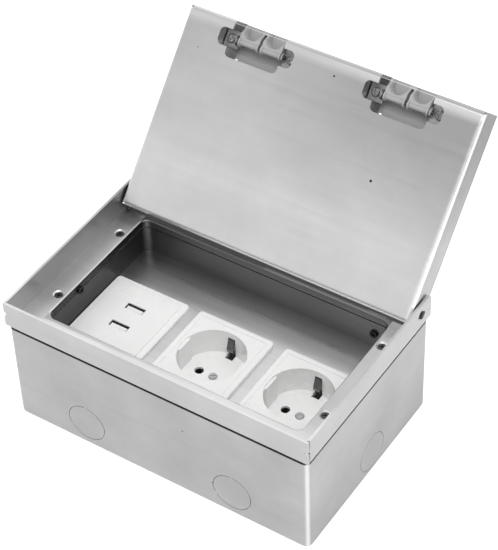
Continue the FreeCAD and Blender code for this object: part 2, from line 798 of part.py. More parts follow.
def terminal_screws(x):
    screws = []
    z = base_top - terminal_drop
    front = module_y + insert_size / 2 - terminal_inset
    middle = front - terminal_length / 2
    for place in terminal_places(x):
        clamp = block(place - terminal_size / 2, place + terminal_size / 2,
                      front - terminal_length, front, z - terminal_low, z + terminal_high)
        wire_hole = rod(terminal_bore, (place, middle, z - terminal_low - past), Z_AXIS,
                        terminal_low + past)
        radius, thickness = terminal_head
        head = rod(radius, (place, front, z), Y_AXIS, thickness)
        width, depth = terminal_slot
        slot = block(place - radius - past, place + radius + past, front + thickness - depth,
                     front + thickness + past, z - width / 2, z + width / 2)
        screws.append(cut(fuse([clamp, head]), [wire_hole, slot]))
    return Part.makeCompound(screws)


for name in ("socket_1", "socket_2"):
    cx = module_x[name]
    parts[name + "_cover"] = socket_cover(cx)
    parts[name + "_support_plate"] = support_plate(cx, True)
    parts[name + "_base"] = socket_base(cx)
    parts[name + "_contacts"] = pin_contacts(cx)
    parts[name + "_earth_strap"] = earth_strap(cx)
    parts[name + "_centre_screw"] = centre_screw(cx)
    parts[name + "_terminals"] = terminal_screws(cx)

parts["support_screws"] = Part.makeCompound(
    [support_screw(sx, sy) for x in module_x.values() for sx, sy in support_screw_places(x)])


# ---------------------------------------------------------------- USB module
def usb_slot_centres():
    return [usb_y - usb_pitch / 2, usb_y + usb_pitch / 2]


def usb_cover():
    x = module_x["usb"]
    border_top = cover_top - usb_border_drop
    top = border_top + usb_field_rise
    plate = cover_blank(x, border_top)
    hx, hy = usb_field_x / 2, usb_field_y / 2
    field = rounded_block(x - hx, x + hx, module_y - hy, module_y + hy,
                          border_top - cover_edge / 2, top, usb_field_corner)
    field = field.makeChamfer(usb_field_edge, edges_at(field, top))
    cover = plate.fuse(field).removeSplitter()
    for y in usb_slot_centres():
        sx, sy = usb_slot_x / 2, usb_slot_y / 2
        cover = cover.cut(block(x - sx, x + sx, y - sy, y + sy, tray_floor_top - 1, top + 1))
    return cover, top


def usb_shell(y, top):
    x = module_x["usb"]
    sx, sy = usb_slot_x / 2 - usb_shell_gap, usb_slot_y / 2 - usb_shell_gap
    z1 = top - usb_shell_drop
    z0 = z1 - usb_shell_length
    outer = block(x - sx, x + sx, y - sy, y + sy, z0, z1)
    t = usb_shell_wall
    return outer.cut(block(x - sx + t, x + sx - t, y - sy + t, y + sy - t,
                           z0 + usb_shell_floor, z1 + past))


def usb_tongue(y, top):
    x = module_x["usb"]
    z0 = top - usb_shell_drop - usb_shell_length + usb_shell_floor
    return block(x - usb_tongue_half, x + usb_tongue_half, y - usb_tongue_front,
                 y + usb_tongue_back, z0, top - usb_tongue_drop)


def usb_housing(board_top):
    """Open-topped rear housing with a ledge that carries the board."""
    x = module_x["usb"]
    z0 = tray_floor_top - usb_housing_height
    z1 = tray_floor_top - usb_housing_gap
    wall = usb_housing_wall
    body = insert_block(x, z0, z1, 0, insert_corner)
    room = insert_block(x, board_top - usb_board_thickness, z1 + past, wall, usb_board_corner)
    below = insert_block(x, z0 + wall, z1 + past, 2 * wall, usb_board_corner)
    return cut(body, [room, below])


usb_cover_shape, usb_top = usb_cover()
board_top = usb_top - usb_shell_drop - usb_shell_length
parts["usb_cover"] = usb_cover_shape
parts["usb_port_shells"] = Part.makeCompound([usb_shell(y, usb_top) for y in usb_slot_centres()])
parts["usb_port_tongues"] = Part.makeCompound([usb_tongue(y, usb_top) for y in usb_slot_centres()])
parts["usb_board"] = insert_block(module_x["usb"], board_top - usb_board_thickness, board_top,
                                  usb_housing_wall + usb_board_gap, usb_board_corner)
parts["usb_housing"] = usb_housing(board_top)
parts["usb_support_plate"] = support_plate(module_x["usb"], False)


# ---------------------------------------------------------------- earth stud
def hexagon(across, x, y, z, height):
    radius = across / math.sqrt(3)
    return prism([(x + radius * math.cos(math.radians(60 * k)),
                   y + radius * math.sin(math.radians(60 * k)), z) for k in range(6)],
                 Z_AXIS, height)


parts["earth_stud"] = rod(earth_stud_radius, (earth_stud_x, earth_stud_y, sheet), Z_AXIS,
                          earth_stud_height)
nuts = []
for z in (sheet, sheet + earth_nut_pitch):
    nut = hexagon(earth_nut_across, earth_stud_x, earth_stud_y, z + earth_washer_height,
                  earth_nut_height)
    washer = rod(earth_washer_radius, (earth_stud_x, earth_stud_y, z), Z_AXIS,
                 earth_washer_height)
    nuts.append(fuse([nut, washer]).cut(
        rod(earth_stud_radius, (earth_stud_x, earth_stud_y, z - past), Z_AXIS,
            earth_washer_height + earth_nut_height + 2 * past)))
parts["earth_nuts"] = Part.makeCompound(nuts)


# ---------------------------------------------------------------- lid, drawn closed
def open_lid(shape):
    turned = shape.copy()
    turned.rotate(V(0, pivot_y, pivot_z), X_AXIS, -lid_open_angle)
    return turned


def outlet_cutters(cx):
    """Cut-out of the lid's underside and of its front wall."""
    half = outlet_width / 2
    z0, z1 = lid_bottom - 1, lid_bottom + sheet + 0.5
    slot = rounded_block(cx - half, cx + half, lid_front - 10, lid_front + outlet_depth, z0, z1,
                         lobe_radius)
    lobes = rounded_block(cx - half - lobe_reach, cx + half + lobe_reach, lid_front + lobe_front,
                          lid_front + lobe_back, z0, z1, lobe_radius)
    front = block(cx - half, cx + half, lid_front - 1, lid_front + sheet + 0.01, z0,
                  total_height + 1)
    return [slot.fuse(lobes), front]


def lid_tray():
    outer = block(-lid_x, lid_x, lid_front, lid_back, lid_bottom, total_height)
    outer = soft_bottom(outer, lid_fold_radius)
    inner = block(-lid_x + sheet, lid_x - sheet, lid_front + sheet, lid_back - sheet,
                  lid_bottom + sheet, total_height + 1)
    tray = outer.cut(soft_bottom(inner, lid_fold_radius - sheet))
    tools = []
    tools.append(block(-lid_x - 1, lid_x + 1, lid_back - sheet - 0.01, lid_back + 1,
                       lid_bottom + lid_back_upstand, total_height + 1).cut(
                 block(-lid_x - 1, -lid_x + sheet, pivot_y, lid_back + 2, lid_bottom,
                       total_height + 2)).cut(
                 block(lid_x - sheet, lid_x + 1, pivot_y, lid_back + 2, lid_bottom,
                       total_height + 2)))
    # rounded hinge ears at the back of the side walls
    ear = lid_back - pivot_y
    ear_z = total_height - ear
    tools.append(block(-lid_x - 1, lid_x + 1, pivot_y, lid_back + 1, ear_z,
                       total_height + 1).cut(
                 rod(ear, (-lid_x - 2, pivot_y, ear_z), X_AXIS, 2 * lid_x + 4)))
    for sign in (-1, 1):
        start = (sign * (lid_x - 2 * sheet), pivot_y, pivot_z)
        tools.append(Part.makeCylinder(pivot_radius + pivot_clearance, 4 * sheet, V(*start),
                                       X_AXIS * sign))
        # corner reliefs of the folds
        for y in (lid_front + lid_relief_inset, lid_back - lid_relief_inset):
            tools.append(rod(lid_relief_radius, (sign * (lid_x - lid_relief_inset), y,
                                                 lid_bottom - past), Z_AXIS, 2 * sheet + past))
    for cx in outlet_centres.values():
        tools += outlet_cutters(cx)
    return cut(tray, tools)


def outlet_housing(cx):
    """Cover that closes the cut-out off from the lid's recess, open where the flap works."""
    roof_bottom = total_height - sheet
    z0 = lid_bottom + sheet
    y0 = lid_front + sheet
    y1 = lid_front + housing_depth
    shell = block(cx - housing_half, cx + housing_half, y0, y1, z0, total_height)
    shell = shell.cut(block(cx - housing_half + housing_sheet, cx + housing_half - housing_sheet,
                            y0 - 1, y1 - housing_sheet, z0 - 1, roof_bottom))
    half = outlet_width / 2
    shell = shell.cut(block(cx - half, cx + half, y0 - 1, lid_front + roof_opening_back,
                            roof_bottom - 1, total_height + 1))
    # the front corners clear the fold of the lid
    shell = shell.cut(block(cx - housing_half - 1, cx + housing_half + 1, y0 - 1, y0 + sheet,
                            z0 - 1, z0 + sheet))
    foot_top = hinge_z + foot_rise + ear_sheet
    bosses = [rod(housing_boss_radius, (cx + sign * outlet_screw_x, hinge_y, foot_top), Z_AXIS,
                  roof_bottom - foot_top) for sign in (-1, 1)]
    shell = fuse([shell] + bosses)
    holes = [rod(outlet_screw_radius, (cx + sign * outlet_screw_x, hinge_y, foot_top - past),
                 Z_AXIS, roof_bottom - housing_boss_roof - foot_top + past) for sign in (-1, 1)]
    return cut(shell, holes)


def bearing_bracket(cx, sign):
    """Foot screwed to the housing and an ear that holds the flap's pin."""
    foot_z = hinge_z + foot_rise
    y0, y1 = lid_front + lobe_front, lid_front + lobe_back
    foot = block(ear_inner, foot_reach, y0, y1, foot_z, foot_z + ear_sheet)
    ear = fuse([block(ear_inner, ear_inner + ear_sheet, hinge_y - ear_radius,
                      hinge_y + ear_radius, hinge_z, foot_z + ear_sheet),
                rod(ear_radius, (ear_inner, hinge_y, hinge_z), X_AXIS, ear_sheet)])
    bracket = fuse([foot, ear])
    bracket = cut(bracket, [rod(flap_pin_radius, (ear_inner - past, hinge_y, hinge_z), X_AXIS,
                                ear_sheet + 2 * past),
                            rod(outlet_screw_radius + outlet_hole_gap,
                                (outlet_screw_x, hinge_y, foot_z - past), Z_AXIS,
                                ear_sheet + 2 * past)])
    if sign < 0:
        bracket = bracket.mirror(V(0, 0, 0), X_AXIS)
    bracket.translate(V(cx, 0, 0))
    return bracket


def outlet_screw(x):
    foot_z = hinge_z + foot_rise
    face = foot_z - outlet_head_thickness
    head = rod(outlet_head_radius, (x, hinge_y, face), Z_AXIS, outlet_head_thickness)
    head = head.makeChamfer(outlet_head_edge, edges_at(head, face))
    shank = rod(outlet_screw_radius, (x, hinge_y, foot_z), Z_AXIS, outlet_screw_length)
    return fuse([head, shank]).cut(cross_slot(x, hinge_y, face, outlet_cross, down=1))


def flap(cx):
    """Rocker flap: a cover plate on two barrels, with two cable channels at its front."""
    plate_bottom = total_height - flap_plate
    y0 = lid_front + flap_front_gap
    y1 = lid_front + flap_depth
    body_bottom = hinge_z - barrel_radius
    channel_back = hinge_y - barrel_flange_radius + channel_end
    plate = block(-flap_half, flap_half, y0, y1, plate_bottom, total_height)
    plate = plate.makeChamfer(flap_edge, edges_at(plate, total_height))
    tongue = block(-flap_body_half, flap_body_half, y1 - flap_tongue_overlap, y1 + flap_tongue,
                   plate_bottom - flap_tongue_thickness, total_height - sheet - flap_tongue_gap)
    body = block(-flap_body_half, flap_body_half, y0 + flap_front_gap,
                 channel_back + channel_back_wall, body_bottom, plate_bottom)
    flanges, barrels = [], []
    for sign in (-1, 1):
        outer = flap_body_half
        inner = flap_half_gap
        x0, x1 = sorted((sign * inner, sign * outer))
        barrels.append(rod(barrel_radius, (x0, hinge_y, hinge_z), X_AXIS, x1 - x0))
        for edge in (inner, outer - barrel_flange):
            start = min(sign * edge, sign * (edge + barrel_flange))
            flanges.append(rod(barrel_flange_radius, (start, hinge_y, hinge_z), X_AXIS,
                               barrel_flange))
            flanges.append(block(start, start + barrel_flange, channel_back,
                                 hinge_y, hinge_z, plate_bottom))
    shape = fuse([plate, tongue, body] + barrels + flanges)
    tools = [rod(flap_pin_radius + flap_clearance, (-flap_half - past, hinge_y, hinge_z), X_AXIS,
                 2 * (flap_half + past))]
    # cable channels, round at the back and open at the front and below
    width = flap_body_half - flap_half_gap - 2 * channel_wall
    radius = width / 2 - channel_ease
    for sign in (-1, 1):
        middle = sign * (flap_body_half + flap_half_gap) / 2
        tools.append(rounded_block(middle - width / 2, middle + width / 2, y0 - 2 * radius,
                                   channel_back, body_bottom - past,
                                   plate_bottom - channel_roof, radius))
    # the gap between the two halves
    tools.append(block(-flap_half_gap, flap_half_gap, y0 + flap_gap_front,
                       hinge_y + flap_gap_back, hinge_z - barrel_flange_radius - past,
                       plate_bottom - 2 * channel_roof))
    # lower edge of the ribs rises towards the front
    start, reach, rise = rib_slope
    tools.append(prism([(-flap_half, y0 - past, body_bottom - touch),
                        (-flap_half, channel_back - start, body_bottom - touch),
                        (-flap_half, y0 + reach, body_bottom + reach),
                        (-flap_half, y0 - past, body_bottom + rise)], X_AXIS, 2 * flap_half))
    shape = cut(shape, tools)
    shape.translate(V(cx, 0, 0))
    return shape


parts["lid_tray"] = open_lid(lid_tray())
for side, cx in outlet_centres.items():
    parts["outlet_housing_" + side] = open_lid(outlet_housing(cx))
    parts["flap_" + side] = open_lid(flap(cx))
    pin_half = ear_inner + ear_sheet + flap_pin_end
    parts["flap_pin_" + side] = open_lid(
        rod(flap_pin_radius, (cx - pin_half, hinge_y, hinge_z), X_AXIS, 2 * pin_half))
parts["bearing_brackets"] = Part.makeCompound(
    [open_lid(bearing_bracket(cx, sign)) for cx in outlet_centres.values() for sign in (-1, 1)])
parts["outlet_screws"] = Part.makeCompound(
    [open_lid(outlet_screw(cx + sign * outlet_screw_x))
     for cx in outlet_centres.values() for sign in (-1, 1)])


# ---------------------------------------------------------------- lid pivots
def clip_start():
    return lid_x - sheet - pivot_clip_gap - pivot_clip_thickness


def lid_pivot(sign):
    """Pin with an oblong head in the frame wall and a groove for its clip."""
    head_end = frame_length / 2 - pivot_head_sink
    head = pivot_head_prism(inner_x, head_end)
    inner_end = clip_start() - pivot_end
    shank = rod(pivot_radius, (inner_end, pivot_y, pivot_z), X_AXIS, inner_x - inner_end)
    groove = rod(pivot_radius + past, (clip_start(), pivot_y, pivot_z), X_AXIS,
                 pivot_clip_thickness).cut(
        rod(pivot_radius - pivot_groove_depth, (inner_end, pivot_y, pivot_z), X_AXIS,
            pivot_end + pivot_clip_thickness + past))
    drilling = rod(pivot_drilling_radius, (head_end - pivot_drilling_depth, pivot_y, pivot_z),
                   X_AXIS, pivot_drilling_depth + past)
    pin = cut(fuse([head, shank]), [groove, drilling])
    return pin if sign > 0 else pin.mirror(V(0, 0, 0), X_AXIS)


def pivot_clip(sign):
    """Open retaining ring in the groove of the pivot."""
    x0 = clip_start()
    ring = rod(pivot_clip_radius, (x0, pivot_y, pivot_z), X_AXIS, pivot_clip_thickness).cut(
        rod(pivot_radius - pivot_groove_depth, (x0 - past, pivot_y, pivot_z), X_AXIS,
            pivot_clip_thickness + 2 * past))
    half = pivot_clip_opening / 2
    ring = ring.cut(block(x0 - past, x0 + pivot_clip_thickness + past, pivot_y - half,
                          pivot_y + half, pivot_z, pivot_z + pivot_clip_radius + past))
    return ring if sign > 0 else ring.mirror(V(0, 0, 0), X_AXIS)


parts["lid_pivots"] = Part.makeCompound([lid_pivot(-1), lid_pivot(1)])
parts["pivot_clips"] = Part.makeCompound([pivot_clip(-1), pivot_clip(1)])


# ---------------------------------------------------------------- output
os.makedirs("parts", exist_ok=True)
for name, shape in parts.items():
    solids = shape.Solids
    print(name, len(solids), "solids", round(shape.Volume, 1), "mm3",
          "valid" if shape.isValid() else "NOT VALID")
    result = solids[0] if len(solids) == 1 else Part.makeCompound(solids)
    result.exportStep("parts/" + name + ".step")
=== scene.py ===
# %% [markdown]
# # A floor socket box with its lid standing open
# A folded stainless steel box sits in the floor. Its lid is a shallow tray that takes a piece of
# the floor covering, and two rocking flaps in the lid let the cables out when it is shut. Inside
# stand two round sockets and a charging module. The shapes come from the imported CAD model, so this
# file is about finish: brushed steel, moulded plastic, small screws, and light.

import json
import math

import bpy
from mathutils import Matrix, Vector


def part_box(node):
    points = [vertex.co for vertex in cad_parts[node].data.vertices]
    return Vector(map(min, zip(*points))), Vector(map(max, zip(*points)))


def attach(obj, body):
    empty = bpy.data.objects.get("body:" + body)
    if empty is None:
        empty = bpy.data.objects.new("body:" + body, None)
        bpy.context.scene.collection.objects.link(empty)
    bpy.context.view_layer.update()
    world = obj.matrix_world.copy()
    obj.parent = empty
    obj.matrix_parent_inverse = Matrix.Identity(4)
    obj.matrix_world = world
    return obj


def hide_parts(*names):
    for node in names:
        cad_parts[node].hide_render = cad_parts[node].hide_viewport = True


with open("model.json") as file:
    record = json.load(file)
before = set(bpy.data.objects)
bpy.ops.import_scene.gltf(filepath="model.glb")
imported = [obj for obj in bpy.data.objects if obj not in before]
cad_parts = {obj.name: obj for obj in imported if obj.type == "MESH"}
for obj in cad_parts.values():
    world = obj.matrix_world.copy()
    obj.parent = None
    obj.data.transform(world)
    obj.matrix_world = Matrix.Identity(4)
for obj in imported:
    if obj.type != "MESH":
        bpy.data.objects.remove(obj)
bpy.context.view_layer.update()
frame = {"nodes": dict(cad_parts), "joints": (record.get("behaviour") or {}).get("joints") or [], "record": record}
nodes = frame["nodes"]
MM = 0.001

# %% [markdown]
# ## Node helpers
# A shader is a small graph. Short helpers keep the graphs readable: one adds a node with its
# settings and links, one makes a reusable group with named sockets, and the others are the steps
# that the finishes repeat, such as a product of tones or a choice by a mask.

# %% Helpers for node trees
def add(tree, kind, inputs=None, **settings):
    """A new node. Each input is a value, or a socket to link from."""
    made = tree.nodes.new(kind)
    for name, value in settings.items():
        setattr(made, name, value)
    for socket, source in (inputs or {}).items():
        if isinstance(source, bpy.types.NodeSocket):
            tree.links.new(source, made.inputs[socket])
        else:
            made.inputs[socket].default_value = source
    return made


def maths(tree, operation, *values, clamp=False):
    """The result socket of a Math node."""
    return add(tree, "ShaderNodeMath", dict(enumerate(values)), operation=operation,
               use_clamp=clamp).outputs[0]


def spread(tree, value, low, high, to_low=0.0, to_high=1.0):
    """The result socket of a Map Range node that clamps."""
    return add(tree, "ShaderNodeMapRange", {"Value": value, "From Min": low, "From Max": high,
                                            "To Min": to_low, "To Max": to_high}).outputs["Result"]


def blend_colour(tree, factor, first, second, how="MIX"):
    """The colour socket of a Mix node."""
    mix = add(tree, "ShaderNodeMix", data_type="RGBA", blend_type=how)
    colours = [s for s in mix.inputs if s.type == "RGBA"]
    for socket, source in ((mix.inputs["Factor"], factor), (colours[0], first),
                           (colours[1], second)):
        if isinstance(source, bpy.types.NodeSocket):
            tree.links.new(source, socket)
        else:
            socket.default_value = source
    return [s for s in mix.outputs if s.type == "RGBA"][0]


def times(tree, first, *others):
    """The result socket of a product of two or more values."""
    for other in others:
        first = maths(tree, "MULTIPLY", first, other)
    return first


def where(tree, mask, level, otherwise=1.0):
    """One value where the mask is 1, and another where it is 0."""
    return spread(tree, mask, 0.0, 1.0, otherwise, level)


def parts(tree, vector):
    """The sockets with the X, Y and Z of a vector."""
    return add(tree, "ShaderNodeSeparateXYZ", {0: vector}).outputs


def neutral(tree, tone):
    """The colour socket of a grey with the same tone in all its channels."""
    return add(tree, "ShaderNodeCombineColor",
               {"Red": tone, "Green": tone, "Blue": tone}).outputs[0]


def toned(tree, colour, tone):
    """The colour socket of a colour times a tone."""
    return blend_colour(tree, 1.0, colour, neutral(tree, tone), "MULTIPLY")


def group(name, inputs, outputs, kind="ShaderNodeTree"):
    """An empty node group with named sockets, and its two end nodes."""
    tree = bpy.data.node_groups.new(name, kind)
    for label, socket_type, value in inputs:
        socket = tree.interface.new_socket(label, in_out="INPUT", socket_type=socket_type)
        if value is not None:
            socket.default_value = value
    for label, socket_type in outputs:
        tree.interface.new_socket(label, in_out="OUTPUT", socket_type=socket_type)
    return tree, tree.nodes.new("NodeGroupInput").outputs, tree.nodes.new("NodeGroupOutput").inputs


# %% [markdown]
# ## Brush marks
# Brushed sheet carries fine parallel lines. A noise texture that is squeezed across the lines and
# stretched along them gives such streaks. The sheet was brushed flat and folded afterwards, so the
# short walls, whose normals lie along X, take their lines along Y. The lid stands open, so the
# group first turns the coordinates back by the tilt that its user gives. A last mask marks the
# bends, where the normal lies along none of the three axes and a highlight is painted.

# %% Shader group for brush marks
FLOAT = "NodeSocketFloat"
FACING = 0.7                          # a face looks along an axis if its normal has more than this
FLAT_FACE, FULL_BEND = 0.95, 0.78     # the largest part of the normal on a flat face and in a bend
BROAD_SHARE = 0.09                    # how often the broad streaks repeat, beside the fine ones


def brush_marks():
    """Fine and broad streaks along the sheet, and a mask of its bends."""
    tree, given, result = group(
        "Brush marks",
        [("Tilt", FLOAT, 0.0), ("Lines along", FLOAT, 25.0), ("Lines across", FLOAT, 2500.0)],
        [("Fine", FLOAT), ("Broad", FLOAT), ("Bend", FLOAT)])
    place = add(tree, "ShaderNodeTexCoord").outputs
    flat = {}
    for name in ("Object", "Normal"):
        flat[name] = add(tree, "ShaderNodeVectorRotate",
                         {"Vector": place[name], "Angle": given["Tilt"]},
                         rotation_type="X_AXIS").outputs[0]
    facing = [maths(tree, "ABSOLUTE", part) for part in parts(tree, flat["Normal"])]
    end_wall = maths(tree, "GREATER_THAN", facing[0], FACING)
    squarest = maths(tree, "MAXIMUM", facing[0], maths(tree, "MAXIMUM", facing[1], facing[2]))
    tree.links.new(spread(tree, squarest, FLAT_FACE, FULL_BEND), result["Bend"])
    for label, share in (("Fine", 1.0), ("Broad", BROAD_SHARE)):
        along = times(tree, given["Lines along"], share)
        across = times(tree, given["Lines across"], share)
        values = []
        for axes in ((along, across, across), (across, along, across)):
            squeeze = add(tree, "ShaderNodeCombineXYZ", dict(enumerate(axes))).outputs[0]
            stretched = add(tree, "ShaderNodeVectorMath", {0: flat["Object"], 1: squeeze},
                            operation="MULTIPLY").outputs[0]
            values.append(add(tree, "ShaderNodeTexNoise",
                              {"Vector": stretched, "Scale": 1.0, "Detail": 2.0}).outputs["Fac"])
        mix = add(tree, "ShaderNodeMix", {"Factor": end_wall, "A": values[0], "B": values[1]})
        tree.links.new(mix.outputs["Result"], result[label])
    return tree


BRUSH_MARKS = brush_marks()

# %% [markdown]
# ## Handling marks
# Steel that has been handled shows cloudy patches where fingers and cloths went, slight waves in
# the sheet that bend its reflections, and a few dark specks. Large soft noise gives the first two.
# The specks are dots in a few cells of a Voronoi pattern.

# %% Shader group for handling marks
WAVES_PER_METRE = 14.0
SMALLEST_SPECK, LARGEST_SPECK = 0.015, 0.05     # radii, as shares of a cell


def handling_marks():
    """Cloudy patches, slight waves and dark specks."""
    tree, given, result = group(
        "Handling marks", [("Patch size", FLOAT, 22.0), ("Speck cells", FLOAT, 55.0),
                           ("Speck share", FLOAT, 0.1)],
        [("Patches", FLOAT), ("Waves", FLOAT), ("Specks", FLOAT)])
    spot = add(tree, "ShaderNodeTexCoord").outputs["Object"]
    patches = add(tree, "ShaderNodeTexNoise", {"Vector": spot, "Scale": given["Patch size"],
                                               "Detail": 4.0, "Roughness": 0.55}).outputs["Fac"]
    tree.links.new(spread(tree, patches, 0.35, 0.7), result["Patches"])
    waves = add(tree, "ShaderNodeTexNoise", {"Vector": spot, "Scale": WAVES_PER_METRE,
                                             "Detail": 0.0}).outputs["Fac"]
    tree.links.new(waves, result["Waves"])
    cells = add(tree, "ShaderNodeTexVoronoi", {"Vector": spot, "Scale": given["Speck cells"]})
    pick = add(tree, "ShaderNodeSeparateColor", {0: cells.outputs["Color"]}).outputs
    chosen = maths(tree, "LESS_THAN", pick["Red"], given["Speck share"])
    size = spread(tree, pick["Green"], 0.0, 1.0, SMALLEST_SPECK, LARGEST_SPECK)
    dot = maths(tree, "LESS_THAN", cells.outputs["Distance"], size)
    tree.links.new(times(tree, chosen, dot), result["Specks"])
    return tree


HANDLING_MARKS = handling_marks()

# %% [markdown]
# ## Moulded skin
# Moulded plastic is even in colour, with a very fine grain from the mould and a slight
# unevenness of gloss. Two noises at different scales are enough.

# %% Shader group for moulded skin
def moulded_skin():
    """A fine grain and a slow flow over the surface."""
    tree, given, result = group(
        "Moulded skin", [("Grain", FLOAT, 1500.0), ("Flow", FLOAT, 45.0)],
        [("Grain", FLOAT), ("Flow", FLOAT)])
    spot = add(tree, "ShaderNodeTexCoord").outputs["Object"]
    for label, detail in (("Grain", 1.0), ("Flow", 3.0)):
        value = add(tree, "ShaderNodeTexNoise", {"Vector": spot, "Scale": given[label],
                                                 "Detail": detail}).outputs["Fac"]
        tree.links.new(value, result[label])
    return tree


MOULDED_SKIN = moulded_skin()

# %% [markdown]
# ## Recess shade
# The socket tray is deep, and steel walls that face each other pass the light on with a loss at
# each turn. Repeated losses turn the back and the left of the tray dark. The group gives a mask
# that is 1 inside the opening and 0 outside it, and a depth of shade that grows towards the back
# and the left.

# %% Shader group for the shade inside the opening
SHADE_OF_BACK, SHADE_OF_LEFT = 0.85, 0.45       # their sum passes 1, so that the corner is full


def recess_shade():
    """A mask of the inside of a box, and how deep the shade is there."""
    tree, given, result = group(
        "Recess shade",
        [("Half length", FLOAT, 0.1), ("Front", FLOAT, -0.05), ("Back", FLOAT, 0.05),
         ("Rim", FLOAT, 0.07), ("Lit until", FLOAT, 0.02)],
        [("Inside", FLOAT), ("Depth", FLOAT)])
    x, y, z = parts(tree, add(tree, "ShaderNodeTexCoord").outputs["Object"])
    inside = times(tree,
                   maths(tree, "LESS_THAN", maths(tree, "ABSOLUTE", x), given["Half length"]),
                   maths(tree, "GREATER_THAN", y, given["Front"]),
                   maths(tree, "LESS_THAN", y, given["Back"]),
                   maths(tree, "LESS_THAN", z, given["Rim"]))
    tree.links.new(inside, result["Inside"])
    towards_back = add(tree, "ShaderNodeMapRange",
                       {"Value": y, "From Min": given["Lit until"], "From Max": given["Back"]},
                       interpolation_type="SMOOTHSTEP").outputs["Result"]
    side = maths(tree, "DIVIDE", x, given["Half length"])
    towards_left = spread(tree, side, 0.2, -1.0)
    depth = maths(tree, "MULTIPLY_ADD", towards_left, SHADE_OF_LEFT,
                  times(tree, towards_back, SHADE_OF_BACK), clamp=True)
    tree.links.new(depth, result["Depth"])
    return tree


RECESS_SHADE = recess_shade()

# %% [markdown]
# ## Steel and plastic
# Each finish is one function that places the groups above around a Principled shader. Steel is
# fully metallic, so its colour is the colour of its reflections. Its gloss follows the streaks.
# Light and shade are also painted into the colour of the sheets: the lid is painted darker from
# its hinge to its free edge, the frame's front shelf is painted brighter and its back left corner
# darker, and the box has a painted shadow in the seam under the frame. One function for each of
# these sheets paints this light and shade by the place on the object.

# %% Materials
LID_TILT = math.radians(frame["joints"][0]["range_deg"][1])
OPENING_LOW, OPENING_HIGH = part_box("socket_tray")
FRAME_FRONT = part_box("top_frame")[0].y
SHEET = 1.5 * MM
STREAK_HEIGHT, GRAIN_HEIGHT, WAVE_HEIGHT = 0.02 * MM, 0.03 * MM, 1.0 * MM
FINE_PART, BROAD_PART = 0.6, 0.4                # of the streaks
STREAK_ROUGHNESS, PATCH_ROUGHNESS = 0.10, 0.05  # what the marks add
STEEL_WARMTH = 0.002
SPECK_GREY = 0.05
TARNISH, FLOW_TONE = 0.72, 0.96

# Painted light and shade by place: 1 leaves the steel as it is, less is painted darker and more
# is painted brighter.
LID_DIMMEST = 0.76                    # at the free edge, and once more in its right corner
LID_CLOUDS = (0.95, 1.05)
FREE_EDGE_GLINT = (0.20, 0.42)        # added in the bend of the free edge, from left to right
RIGHT_EDGE_GLINT = 0.20               # added in the bend of the right edge
# painted shade on the lid's right rim
RIGHT_RIM_SHADE = (0.74, 0.90)              # from the hinge to the free edge
TRAY_SHADE = {"wall": 0.22, "floor": 0.38}
FRAME_SHADE = {"wall": 0.27, "floor": 0.30}
LEFT_WALL_SHARE = 0.42                # of the other walls' tone, on the wall that looks right
# painted light on the front of the shelves, painted shade at their back left and on the left wall
FRONT_SHELF_LIGHT, BACK_LEFT_GLOOM, LEFT_RIM_SHADE = 1.38, 0.40, 0.62
# painted shade on the foot of the right wall, and a painted shadow in the seam under the frame
BOX_FOOT_SHADE, BOX_SEAM_SHADOW = 0.86, 0.15
INNER_GLOW = 0.045


def new_material(name, **plain):
    """A material with plain values on its Principled shader."""
    material = bpy.data.materials.new(name)
    material.use_nodes = True
    shader = material.node_tree.nodes["Principled BSDF"]
    for socket, value in plain.items():
        shader.inputs[socket.replace("_", " ")].default_value = value
    return material, material.node_tree, shader


def use_group(tree, which, **values):
    """The output sockets of a shader group with its own values."""
    made = add(tree, "ShaderNodeGroup", node_tree=which)
    for socket, value in values.items():
        made.inputs[socket.replace("_", " ")].default_value = value
    return made.outputs


def grey(level, warmth=0.0):
    return (level * (1 + warmth), level, level * (1 - warmth), 1.0)


def dimmed(colour, share):
    return tuple(channel * share for channel in colour[:3]) + (1.0,)


def lid_painted_light(tree, colour):
    """Painted shade, darker towards the free edge of the open lid, most of all at its right.

    The bends along the free edge and the right edge get a painted highlight, and the right rim is
    painted darker.
    """
    place = add(tree, "ShaderNodeTexCoord").outputs
    x, _, z = parts(tree, place["Object"])
    rightward, forward, _ = parts(tree, place["Normal"])
    low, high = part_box("lid_tray")
    upward = spread(tree, z, low.z, high.z)
    corner = times(tree, upward, spread(tree, x, low.x, high.x))
    cloud = add(tree, "ShaderNodeTexNoise", {"Vector": place["Object"], "Scale": 12.0,
                                             "Detail": 2.0}).outputs["Fac"]
    # Painted shade towards the free edge, most of all in its right corner.
    tone = times(tree, spread(tree, upward, 0.35, 0.80, 1.0, LID_DIMMEST),
                 spread(tree, corner, 0.20, 0.65, 1.0, LID_DIMMEST),
                 spread(tree, cloud, 0.3, 0.7, *LID_CLOUDS))
    # Painted highlights in the bends of the free edge and the right edge.
    on_face = spread(tree, forward, -0.3, -0.6)
    free_edge = times(tree, spread(tree, z, high.z - 5.5 * MM, high.z - 2.0 * MM),
                      spread(tree, x, -20 * MM, 50 * MM, *FREE_EDGE_GLINT))
    right_edge = spread(tree, x, high.x - 4.0 * MM, high.x - 2.0 * MM, 0.0, RIGHT_EDGE_GLINT)
    glint = times(tree, maths(tree, "MAXIMUM", free_edge, right_edge), on_face)
    # Painted shade on the right rim.
    on_rim = maths(tree, "GREATER_THAN", rightward, 0.8)
    rim = spread(tree, upward, 0.0, 0.7, *RIGHT_RIM_SHADE)
    return toned(tree, colour,
                 times(tree, maths(tree, "ADD", tone, glint), where(tree, on_rim, rim)))


